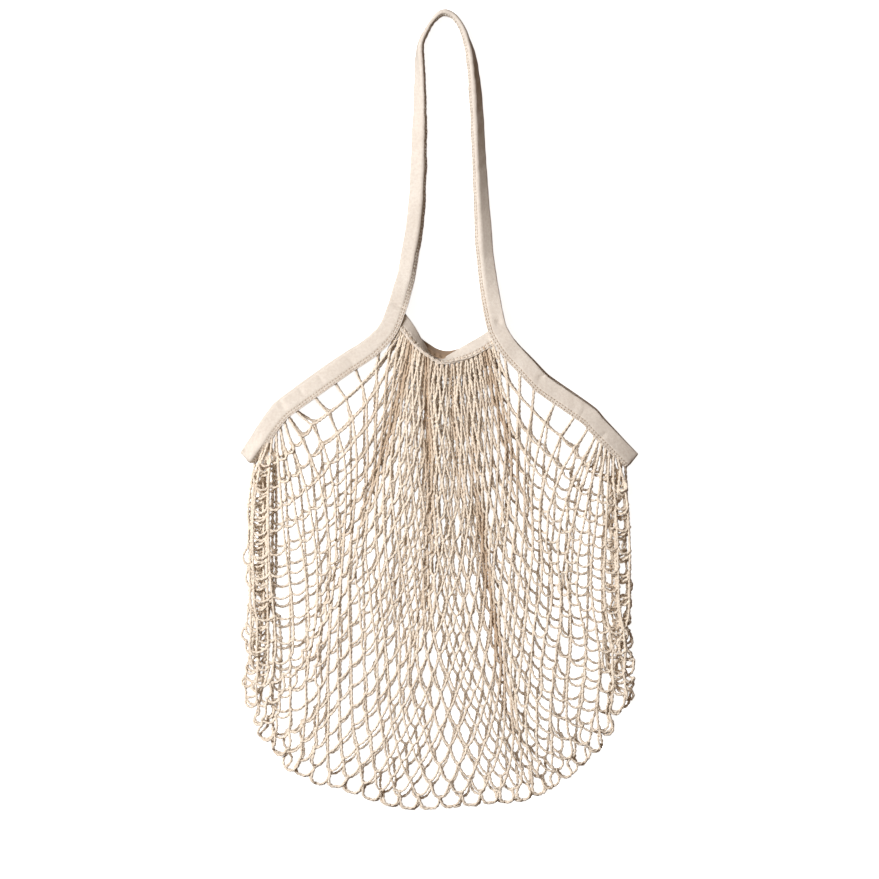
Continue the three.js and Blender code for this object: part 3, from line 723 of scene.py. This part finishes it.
def bend_strands(net, knots, leg, thick, rounds):
    """Bends the strands between their knots by their slack, and keeps them off each other.
    Gives every strand's points, knots included."""
    rng = np.random.default_rng(4)
    knot_count, strand_count = len(knots), len(net.strands)
    count = knot_count + strand_count * BENDS
    first, second = net.strands.T
    inner = knot_count + np.arange(strand_count)[:, None] * BENDS + np.arange(BENDS)
    chain = np.column_stack([first, inner, second])
    span = knots[second] - knots[first]
    apart = np.sqrt((span * span).sum(1))
    kept = np.interp(net.outer[first], *KEPT_SLACK)
    leg = np.where(leg > apart, apart + kept * (leg - apart), leg)
    spare = np.sqrt(np.maximum(leg ** 2 - apart ** 2, 0))[:, None] * 0.36
    across = unit(np.stack([-span[:, 1], span[:, 0]], axis=1))
    across *= np.where(across[:, 1:] > 0, -1, 1)
    part = (np.arange(BENDS) + 1) / (BENDS + 1)
    bow = spare * np.sin(math.pi * part)
    places = knots[first][:, None] + span[:, None] * part[:, None]
    places[..., :2] += across[:, None] * bow[..., None]
    places[..., 2] += 0.8 * bow * rng.choice([-1, 1], (strand_count, 1))
    x = np.zeros((count, 3))
    x[:knot_count] = knots
    x[inner] = places
    free = np.ones(count)
    free[:knot_count][net.sewn] = 0
    x += free[:, None] * rng.normal(0, 0.25, (count, 3))

    step = leg / (BENDS + 1)
    segments = []
    for start in (1, 2):
        links = [chain[:, [k, k + 1]] for k in range(start, BENDS, 2)]
        segments.append((np.vstack(links), np.tile(step, len(links))))
    for layer in (FRONT, BACK):
        for way in (0, 1):
            own = (net.kind[:, 0] == layer) & (net.kind[:, 1] == way)
            segments += [(chain[own][:, [0, 1]], step[own]), (chain[own][:, [-2, -1]], step[own])]
    stiff = [(chain[:, [k, k + 2]], 2 * step * 0.99, 0.5) for k in range(BENDS)]
    stiff += [(chain[:, [k, k + 3]], 3 * step * 0.96, 0.25) for k in range(BENDS - 1)]
    # Strands run round the bottom fold in loops, without a corner.
    ends = {}
    for strand, (layer, _) in enumerate(net.kind):
        if net.row[second[strand]] == LAST_ROW:
            ends.setdefault((second[strand], layer), []).append(inner[strand, -1])
    loops = np.array([pair for pair in ends.values() if len(pair) == 2])
    owner, place = -1 - np.arange(count), np.zeros(count, int)
    owner[inner], place[inner] = np.arange(strand_count)[:, None], np.arange(BENDS) + 1

    def meets(i, otherwise):
        """The knot that a point is or is next to, or else a value of its own."""
        knot = np.where(place[i] == 1, first[owner[i]],
                        np.where(place[i] == BENDS, second[owner[i]], otherwise))
        return np.where(owner[i] < 0, i, knot)

    speed = np.zeros_like(x)
    for turn in range(rounds):
        before = x.copy()
        x += speed * free[:, None]
        x[:, 1] -= 0.015 * free
        x[:knot_count] += 0.02 * (knots - x[:knot_count]) * free[:knot_count, None]
        for pairs, length, share in stiff:
            pull(x, pairs, length, 0, share, free)
        pull(x, loops, 1.9 * net.leg / (BENDS + 1), 0, 0.5, free)
        for pairs, length in segments:
            pull(x, pairs, length, 1, 1, free)
        if turn % 10 == 0:
            close = close_pairs(x, thick + 1)
            i, j = close.T
            close = close[(owner[i] != owner[j]) & (meets(i, -1) != meets(j, -2))]
        i, j = close.T
        gap = x[j] - x[i]
        far = np.sqrt((gap * gap).sum(1)) + 1e-9
        touch = far < thick
        i, j, gap, far = i[touch], j[touch], gap[touch], far[touch]
        gap *= ((far - thick) / far / np.maximum(free[i] + free[j], 1) * 0.5)[:, None]
        for k in range(3):
            x[:, k] += np.bincount(i, gap[:, k] * free[i], count)
            x[:, k] -= np.bincount(j, gap[:, k] * free[j], count)
        x[:, 2] = np.clip(x[:, 2], thick / 2, NET_CEILING)
        speed = move_on(x, before, 0.85, 0.8)
    return x[chain]


def between(points, per_step):
    """Points on curves through rows of points, (count, n, 3), so many to a step."""
    p = np.concatenate([2 * points[:, :1] - points[:, 1:2], points,
                        2 * points[:, -1:] - points[:, -2:-1]], axis=1)
    n = points.shape[1]
    t = np.arange((n - 1) * per_step + 1) / per_step
    i = np.minimum(t.astype(int), n - 2)
    f = (t - i)[None, :, None]
    a, b, c, d = p[:, i], p[:, i + 1], p[:, i + 2], p[:, i + 3]
    return b + 0.5 * f * (c - a + f * (2 * a - 5 * b + 4 * c - d + f * (3 * (b - c) + d - a)))


def knot_lumps(places, thick, seed, size=1.0):
    """Small turned lumps, one at each place."""
    rng = np.random.default_rng(seed)
    turn = rng.uniform(0, math.pi, len(places))
    axis = np.stack([np.cos(turn), np.sin(turn), rng.uniform(-0.4, 0.4, len(places))], axis=1)
    t = np.linspace(-0.96, 0.96, LUMP_RINGS)
    half = (0.85 * thick * size * rng.uniform(0.9, 1.1, len(places)))[:, None, None]
    lines = places[:, None] + unit(axis)[:, None] * t[:, None] * half
    girth = 0.74 * thick * size * np.sqrt(1 - t ** 2) * rng.uniform(0.92, 1.08, (len(places), 1))
    return tubes(lines, girth, LUMP_SIDES, 0.12, 0.5, turn * 2)


# ---- materials ----

def add_node(tree, kind, inputs=(), **settings):
    """A node with inputs set to values, or linked to other nodes' outputs."""
    node = tree.nodes.new(kind)
    for name, value in settings.items():
        setattr(node, name, value)
    for name, source in dict(inputs).items():
        if isinstance(source, bpy.types.NodeSocket):
            tree.links.new(source, node.inputs[name])
        else:
            node.inputs[name].default_value = source
    return node


def maths(tree, operation, a, b):
    return add_node(tree, "ShaderNodeMath", {0: a, 1: b}, operation=operation).outputs[0]


def noise(tree, place, scale, detail=3.0):
    inputs = {"Vector": place, "Scale": scale, "Detail": detail, "Roughness": 0.6}
    return add_node(tree, "ShaderNodeTexNoise", inputs).outputs[0]


def new_group(name, inputs, outputs):
    """An empty node group, with its input and output nodes."""
    tree = bpy.data.node_groups.new(name, "ShaderNodeTree")
    for in_out, sockets in (("INPUT", inputs), ("OUTPUT", outputs)):
        for label, kind in sockets.items():
            tree.interface.new_socket(label, in_out=in_out, socket_type=kind)
    return tree, tree.nodes.new("NodeGroupInput"), tree.nodes.new("NodeGroupOutput")


def cotton_group():
    """Cotton's colour, mottled by its fibres and deeper in patches, and darkened by painted shade
    as far as its painted shade input asks; and the height of its fibres."""
    colour, value = "NodeSocketColor", "NodeSocketFloat"
    tree, given, out = new_group(
        "Uneven cotton and painted shade",
        {"Colour": colour, "Mottle and shade colour": colour, "Mottle": value, "Painted shade": value},
        {"Colour": colour, "Height": value})
    place = add_node(tree, "ShaderNodeTexCoord").outputs["Object"]
    fibre = noise(tree, place, 420.0, 4.0)
    patch = noise(tree, place, 38.0)
    both = maths(tree, "ADD", fibre, maths(tree, "MULTIPLY", patch, 0.5))
    depth = add_node(tree, "ShaderNodeMapRange", {
        "Value": both, "From Min": 0.55, "From Max": 0.95, "To Min": 0.0,
        "To Max": given.outputs["Mottle"]}).outputs[0]
    # Painted shade: where the painted shade input is more than the mottle, it darkens the colour
    # instead
    depth = maths(tree, "MAXIMUM", depth, given.outputs["Painted shade"])
    mixed = add_node(tree, "ShaderNodeMix", {
        0: depth, 6: given.outputs["Colour"], 7: given.outputs["Mottle and shade colour"]}, data_type="RGBA")
    tree.links.new(mixed.outputs[2], out.inputs["Colour"])
    tree.links.new(fibre, out.inputs["Height"])
    return tree


def weave_group(pitch=0.00075):
    """Plain weave on the tape's own lay, as a height."""
    tree, _, out = new_group("Plain weave", {}, {"Height": "NodeSocketFloat"})
    lay = add_node(tree, "ShaderNodeUVMap", uv_map="Lay").outputs[0]
    apart = add_node(tree, "ShaderNodeSeparateXYZ", {0: lay}).outputs
    waves = [maths(tree, "SINE", maths(tree, "MULTIPLY", axis, 2 * math.pi / pitch), 0.0)
             for axis in (apart[0], apart[1])]
    tree.links.new(maths(tree, "MULTIPLY", *waves), out.inputs["Height"])
    return tree


def cotton_material(name, colour, deep, mottle, woven=False):
    """Matt cotton, plied or woven, darkened by painted shade where its pieces ask for it and, when
    woven, along the seam's stitch rows.
    """
    material = bpy.data.materials.new(name)
    material.use_nodes = True
    tree = material.node_tree
    shader = tree.nodes["Principled BSDF"]
    group = bpy.data.node_groups.get("Uneven cotton and painted shade") or cotton_group()
    cotton = add_node(tree, "ShaderNodeGroup", node_tree=group)
    cotton.inputs["Colour"].default_value = (*colour, 1)
    cotton.inputs["Mottle and shade colour"].default_value = (*deep, 1)
    cotton.inputs["Mottle"].default_value = mottle
    shown = cotton.outputs["Colour"]
    # Painted shade from the piece's point attribute: pleats of the net and the back band inside
    # the mouth, darkened towards the shade colour
    folded = add_node(tree, "ShaderNodeAttribute", attribute_name="Painted shade").outputs["Fac"]
    tree.links.new(maths(tree, "MULTIPLY", folded, FOLD_PAINTED_SHADE), cotton.inputs["Painted shade"])
    # A woven tape also gets painted shade in the puckered stitch holes along its two stitch rows
    if woven:
        lay = add_node(tree, "ShaderNodeUVMap", uv_map="Lay").outputs[0]
        across = add_node(tree, "ShaderNodeSeparateXYZ", {0: lay}).outputs[0]
        off_middle = maths(tree, "ABSOLUTE", maths(tree, "SUBTRACT", across, SEAM_MIDDLE), 0.0)
        off_seam = maths(tree, "ABSOLUTE", maths(tree, "SUBTRACT", off_middle, SEAM_HALF), 0.0)
        seam = add_node(tree, "ShaderNodeMapRange", {
            "Value": off_seam, "From Min": SEAM_EDGES[0], "From Max": SEAM_EDGES[1],
            "To Min": SEAM_PAINTED_SHADE, "To Max": 0.0}).outputs[0]
        shown = add_node(tree, "ShaderNodeMix", {0: seam, 6: shown, 7: (*deep, 1)},
                         data_type="RGBA").outputs[2]
    tree.links.new(shown, shader.inputs["Base Color"])
    normal = add_node(tree, "ShaderNodeBump", {
        "Height": cotton.outputs["Height"], "Distance": 0.0005, "Strength": 0.5}).outputs[0]
    if woven:
        group = bpy.data.node_groups.get("Plain weave") or weave_group()
        weave = add_node(tree, "ShaderNodeGroup", node_tree=group)
        normal = add_node(tree, "ShaderNodeBump", {
            "Height": weave.outputs["Height"], "Distance": 0.00006, "Strength": 0.6,
            "Normal": normal}).outputs[0]
    tree.links.new(normal, shader.inputs["Normal"])
    shader.inputs["Roughness"].default_value = 0.92
    shader.inputs["Specular IOR Level"].default_value = 0.15
    shader.inputs["Sheen Weight"].default_value = 0.15
    return material


# ---- settings ----

class BagSizes(bpy.types.PropertyGroup):
    leg: bpy.props.FloatProperty(
        name="Mesh leg", description="Length of one side of a mesh", default=0.0186,
        unit="LENGTH")
    string: bpy.props.FloatProperty(
        name="String", description="Thickness of the string", default=0.0026, unit="LENGTH")
    ply: bpy.props.FloatProperty(
        name="Ply", description="Length in which the string's plies turn once", default=0.009,
        unit="LENGTH")
    tape: bpy.props.FloatProperty(
        name="Tape", description="Thickness of the folded tape", default=0.0026, unit="LENGTH")


def colour(name, description, default):
    return bpy.props.FloatVectorProperty(
        name=name, description=description, subtype="COLOR", default=default)


class BagColours(bpy.types.PropertyGroup):
    string: colour("String", "Colour of the string", (0.95, 0.86, 0.74))
    # The deep colours are the cotton's darker mottle, and also the painted shade of the net's
    # pleats, the seams and the inside of the mouth.
    string_mottle_and_shade: colour(
        "String mottle and shade", "Colour of the string where it is deepest", (0.44, 0.29, 0.17))
    tape: colour("Tape", "Colour of the tape", (0.82, 0.76, 0.69))
    tape_mottle_and_shade: colour("Tape mottle and shade", "Colour of the tape where it is deepest", (0.36, 0.24, 0.15))
    thread: colour("Thread", "Colour of the stitches", (0.92, 0.87, 0.78))
    floor: colour("Floor", "Colour of the floor", (0.9, 0.9, 0.9))


# ---- operators ----

def thread_material(colours):
    found = bpy.data.materials.get("Thread")
    return found or cotton_material("Thread", colours.thread, colours.tape_mottle_and_shade, 0.2)


def tape_material(colours):
    found = bpy.data.materials.get("Cotton tape")
    return found or cotton_material("Cotton tape", colours.tape, colours.tape_mottle_and_shade, 0.22, True)


class BAG_OT_tape(bpy.types.Operator):
    """Makes the one folded tape of the shoulders and the handle, with its stitches"""
    bl_idname = "bag.tape"
    bl_label = "Make the tape"

    def execute(self, context):
        colours = context.scene.bag_colours
        half = context.scene.bag_sizes.tape / MM / 2
        strip = main_tape()
        dents = [(*strip.nearest(x, y), *rest) for x, y, *rest in DENTS]

        def lift(u, s):
            ripple = np.sin(u / 0.95 + 3 * wander(u, 30, 7)) * smooth((-s - 0.5) / 4)
            shape = 0.4 * wander(u, 17, 5) + 0.26 * wander(u + 0.6 * s, 6.5, 6) + 0.14 * ripple
            for u0, s0, along, across, depth in dents:
                shape = shape - depth * np.exp(-((u - u0) / along) ** 2 - ((s - s0) / across) ** 2)
            return shape

        def swell(u, s):
            return 0.12 * wander(u, 9, 8) * smooth((TAPE_MAIN - s) / 6)

        nodes = ("handle", "side_tape_left", "side_tape_right")
        new_piece("folded_tape", strip_mesh(strip, half, TAPE_STEP, lift, swell),
                  tape_material(colours), nodes)
        new_piece("tape_stitches", stitches(strip, half, lift), thread_material(colours))
        return {"FINISHED"}


class BAG_OT_bands(bpy.types.Operator):
    """Makes the two bands that bind the gathered net at the mouth, with their stitches"""
    bl_idname = "bag.bands"
    bl_label = "Make the mouth bands"

    def execute(self, context):
        colours = context.scene.bag_colours
        half = context.scene.bag_sizes.tape / MM / 2

        def lift(u, s):
            return 0.25 * wander(u, 12, 15) + 0.1 * wander(u, 5, 16)

        def swell(u, s):
            return 0.3 * np.sin(u * 2 * math.pi / 5.8) * smooth((1 - s) / 5)

        for name, route, facing in (("front", MOUTH_FRONT, 1), ("back", MOUTH_BACK, -1)):
            strip = band(route, facing)
            parts = strip_mesh(strip, half, BAND_STEP, lift, swell)
            # Painted shade on the back band, whose face inside the mouth lies in the front band's
            # shadow
            folded = np.full(len(parts[0]), MOUTH_PAINTED_SHADE if facing < 0 else 0.0)
            new_piece("band_" + name, parts, tape_material(colours),
                      ("mouth_band_" + name,), folded)
            new_piece("band_stitches_" + name, stitches(strip, half, lift),
                      thread_material(colours))
        return {"FINISHED"}


class BAG_OT_net(bpy.types.Operator):
    """Hangs the knotted net from the tapes and makes its strands and knots"""
    bl_idname = "bag.net"
    bl_label = "Make the net"

    def execute(self, context):
        sizes, colours = context.scene.bag_sizes, context.scene.bag_colours
        thick = sizes.string / MM
        net = Net(sizes.leg / MM)
        rounds = 1500
        knots, leg = hang(net, rounds)
        chains = bend_strands(net, knots, leg, thick, rounds // 10)
        first, second = net.strands.T
        knots[first], knots[second] = chains[:, 0], chains[:, -1]
        lines = between(chains, 2)
        rng = np.random.default_rng(8)
        phase = rng.uniform(0, 2 * math.pi, len(lines))
        girth = thick / 2 * rng.uniform(0.92, 1.08, (len(lines), 1)) + np.zeros(lines.shape[:2])
        turn = 2 * math.pi / (sizes.ply / MM)
        material = cotton_material("Cotton string", colours.string, colours.string_mottle_and_shade, 0.4)
        low = net.row == LAST_ROW
        # Painted shade: strands and knots deep in the front layer's pleats are darkened
        depth = net.pleats() / PLEAT_DEEPEST
        painted_shade_along = np.linspace(depth[first], depth[second], lines.shape[1], axis=1)
        for layer, side in ((FRONT, "front"), (BACK, "back")):
            own = np.nonzero(net.kind[:, 0] == layer)[0]
            own = own[np.argsort(lines[own, :, 0].mean(1))]
            tied = np.nonzero((net.layer == layer) | ((net.layer == FOLD) & (layer == FRONT)))[0]
            tied = tied[np.argsort(knots[tied, 0])]
            thirds = zip(("left", "middle", "right"), np.array_split(own, 3),
                         np.array_split(tied, 3))
            for third, strands, lumps in thirds:
                plain, looped = lumps[~low[lumps]], lumps[low[lumps]]
                parts = joined(
                    tubes(lines[strands], girth[strands], STRING_SIDES, 0.2, turn,
                          phase[strands]),
                    knot_lumps(knots[plain], thick, 21),
                    knot_lumps(knots[looped], thick, 22, LOOPED_KNOT))
                # Painted shade of every point, by how deep its strand or knot lies in a pleat
                folded = np.concatenate([np.repeat(painted_shade_along[strands], STRING_SIDES),
                                         np.repeat(depth[plain], LUMP_POINTS),
                                         np.repeat(depth[looped], LUMP_POINTS)])
                new_piece(f"net_{side}_{third}", parts, material, ("net",),
                          folded)
        return {"FINISHED"}


class BAG_OT_stage(bpy.types.Operator):
    """Sets up the pale floor, the soft lights and the camera"""
    bl_idname = "bag.stage"
    bl_label = "Set up the stage"

    def execute(self, context):
        bpy.ops.mesh.primitive_plane_add(size=FLOOR_SIZE)
        floor = context.object
        floor.name = "floor"
        material = bpy.data.materials.new("Floor")
        material.use_nodes = True
        shader = material.node_tree.nodes["Principled BSDF"]
        shader.inputs["Base Color"].default_value = (*context.scene.bag_colours.floor, 1)
        shader.inputs["Roughness"].default_value = 1.0
        shader.inputs["Emission Color"].default_value = (1, 1, 1, 1)
        shader.inputs["Emission Strength"].default_value = FLOOR_GLOW
        floor.data.materials.append(material)
        floor.visible_diffuse = False
        for name, place, size, power, tint in LIGHTS:
            bpy.ops.object.light_add(type="AREA", location=place)
            light = context.object
            light.name = name
            light.data.size = size
            light.data.energy = power
            light.data.color = tint
            aim = -light.location
            light.rotation_euler = aim.to_track_quat("-Z", "Y").to_euler()
        world = context.scene.world or bpy.data.worlds.new("World")
        context.scene.world = world
        world.use_nodes = True
        sky = world.node_tree.nodes["Background"]
        sky.inputs["Color"].default_value = SKY_COLOUR
        sky.inputs["Strength"].default_value = SKY_STRENGTH
        bpy.ops.object.camera_add(location=CAMERA_PLACE, rotation=(0, 0, 0))
        context.object.data.lens = CAMERA_LENS
        context.object.data.sensor_width = SENSOR_WIDTH
        context.scene.camera = context.object
        context.scene.view_settings.view_transform = "Standard"
        return {"FINISHED"}


class BAG_PT_panel(bpy.types.Panel):
    """The bag's sizes, colours and pieces"""
    bl_label = "Bag"
    bl_space_type = "VIEW_3D"
    bl_region_type = "UI"
    bl_category = "Bag"

    def draw(self, context):
        for group in (context.scene.bag_sizes, context.scene.bag_colours):
            for name in group.bl_rna.properties.keys():
                if name not in ("rna_type", "name"):
                    self.layout.prop(group, name)
        for operator in (BAG_OT_tape, BAG_OT_bands, BAG_OT_net, BAG_OT_stage):
            self.layout.operator(operator.bl_idname)


CLASSES = (BagSizes, BagColours, BAG_OT_tape, BAG_OT_bands, BAG_OT_net, BAG_OT_stage,
           BAG_PT_panel)


def register():
    for cls in CLASSES:
        bpy.utils.register_class(cls)
    bpy.types.Scene.bag_sizes = bpy.props.PointerProperty(type=BagSizes)
    bpy.types.Scene.bag_colours = bpy.props.PointerProperty(type=BagColours)


def unregister():
    del bpy.types.Scene.bag_sizes
    del bpy.types.Scene.bag_colours
    for cls in reversed(CLASSES):
        bpy.utils.unregister_class(cls)


def main():
    register()
    bpy.ops.bag.tape()
    bpy.ops.bag.bands()
    bpy.ops.bag.net()
    bpy.ops.bag.stage()
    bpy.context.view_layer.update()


if __name__ == "__main__":
    main()
